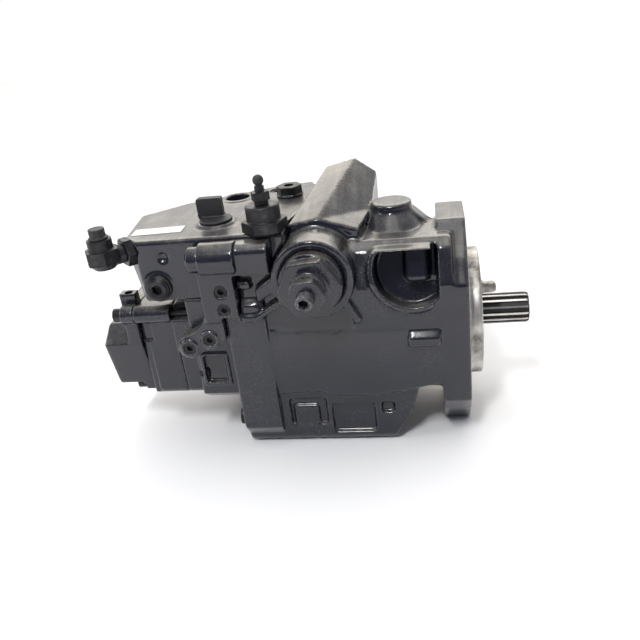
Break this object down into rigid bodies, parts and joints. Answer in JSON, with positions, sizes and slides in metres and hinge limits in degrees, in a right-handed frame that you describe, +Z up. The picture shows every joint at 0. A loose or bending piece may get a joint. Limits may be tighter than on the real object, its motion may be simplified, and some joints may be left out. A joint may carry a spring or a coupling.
{
  "type": "axial piston pump",
  "caption": "Variable-displacement axial piston pump with two-bolt flange, splined shaft, servo stop screw, top valve block and rear gear pump.",
  "frame": {"origin": "on the shaft axis at the mounting flange's front face, where the pilot starts", "axes": "+X along the drive shaft, out of its splined end; +Z up along the flange's two ears; -Y is the side with the servo plug and stop screw"},
  "size_m": [0.4345, 0.241, 0.28],
  "materials": {
    "gloss_black_paint": "gloss black paint over cast iron",
    "machined_steel": "machined, bare",
    "black_oxide": "blackened steel",
    "black_plastic": "matte",
    "bearing_bronze": "turned",
    "seal_rubber": "matte",
    "gear_alloy": "satin",
    "label_white": "blank white label",
    "spring_steel": "drawn wire"
  },
  "bodies": {
    "housing": {"adjuster_locknut": "gloss_black_paint", "adjuster_washer": "gloss_black_paint", "bearing_outer_rings": "machined_steel", "capped_port_plug": "black_plastic", "casing": "gloss_black_paint", "casing_dowels": "machined_steel", "cover_bolts": "black_oxide", "drain_plug": "black_oxide", "elbow_cap": "black_plastic", "elbow_fitting": "black_oxide", "elbow_nut": "black_oxide", "gauge_base": "black_oxide", "gauge_cap": "black_plastic", "gauge_stem": "black_oxide", "gear_bushings": "gear_alloy", "gear_pump_body": "gloss_black_paint", "gear_pump_bolts": "black_oxide", "gear_pump_lid": "gloss_black_paint", "gear_pump_plate": "gloss_black_paint", "hex_port_plug": "black_oxide", "label_plate": "label_white", "rear_cover": "gloss_black_paint", "regulator_body": "gloss_black_paint", "regulator_bolts": "black_oxide", "regulator_end_cap": "gloss_black_paint", "servo_cap": "gloss_black_paint", "servo_spring": "spring_steel", "shaft_seal": "seal_rubber", "side_port_plug": "black_oxide", "snap_ring": "spring_steel", "spool_spring": "spring_steel", "swash_cradle": "bearing_bronze", "valve_block": "gloss_black_paint", "valve_block_bolts": "black_oxide", "valve_plate": "bearing_bronze"},
    "rotating_group": {"drive_shaft": "machined_steel", "bearing_inner_rings": "machined_steel", "cylinder_block": "machined_steel", "pistons": "machined_steel", "ball_guide": "machined_steel", "block_spring": "spring_steel", "drive_gear": "machined_steel", "shaft_coupling": "machined_steel"},
    "roller_cages": {"bearing_rollers": "machined_steel"},
    "swash": {"swash_plate": "machined_steel"},
    "slipper_ring": {"slippers": "bearing_bronze", "retainer_plate": "machined_steel"},
    "servo": {"servo_piston": "machined_steel"},
    "driven_gear_shaft": {"driven_gear": "machined_steel"},
    "spool": {"control_spool": "machined_steel"},
    "stroke_stop": {"stop_screw": "gloss_black_paint"}
  },
  "joints": [
    {"name": "shaft_spin", "type": "hinge", "parent": "housing", "child": "rotating_group", "pos_m": [0, 0, 0], "axis": [1, 0, 0], "continuous": true},
    {"name": "roller_cage_spin", "type": "hinge", "parent": "housing", "child": "roller_cages", "pos_m": [0, 0, 0], "axis": [1, 0, 0], "continuous": true},
    {"name": "driven_gear_spin", "type": "hinge", "parent": "housing", "child": "driven_gear_shaft", "pos_m": [-0.31, 0, -0.036], "axis": [1, 0, 0], "continuous": true},
    {"name": "swash_tilt", "type": "hinge", "parent": "housing", "child": "swash", "pos_m": [-0.088, 0, 0], "axis": [0, 0, 1], "range_deg": [0, 15], "deforming": ["pistons", "servo_spring"]},
    {"name": "slipper_ring_spin", "type": "hinge", "parent": "swash", "child": "slipper_ring", "pos_m": [-0.088, 0, 0], "axis": [1, 0, 0], "continuous": true},
    {"name": "servo_stroke", "type": "slide", "parent": "housing", "child": "servo", "axis": [0, -1, 0], "range_m": [0, 0.0135]},
    {"name": "spool_shift", "type": "slide", "parent": "housing", "child": "spool", "axis": [1, 0, 0], "range_m": [-0.0025, 0.0025], "stiffness_N_per_m": 2000, "deforming": ["spool_spring"]},
    {"name": "stop_screw_travel", "type": "slide", "parent": "housing", "child": "stroke_stop", "axis": [0, -1, 0], "range_m": [0, 0.004]}
  ],
  "couplings": [
    {"joint": "roller_cage_spin", "follows": "shaft_spin", "ratio": 0.421},
    {"joint": "driven_gear_spin", "follows": "shaft_spin", "ratio": -1},
    {"joint": "slipper_ring_spin", "follows": "shaft_spin", "ratio": 1},
    {"joint": "servo_stroke", "follows": "swash_tilt", "m_per_rad": 0.05042}
  ]
}
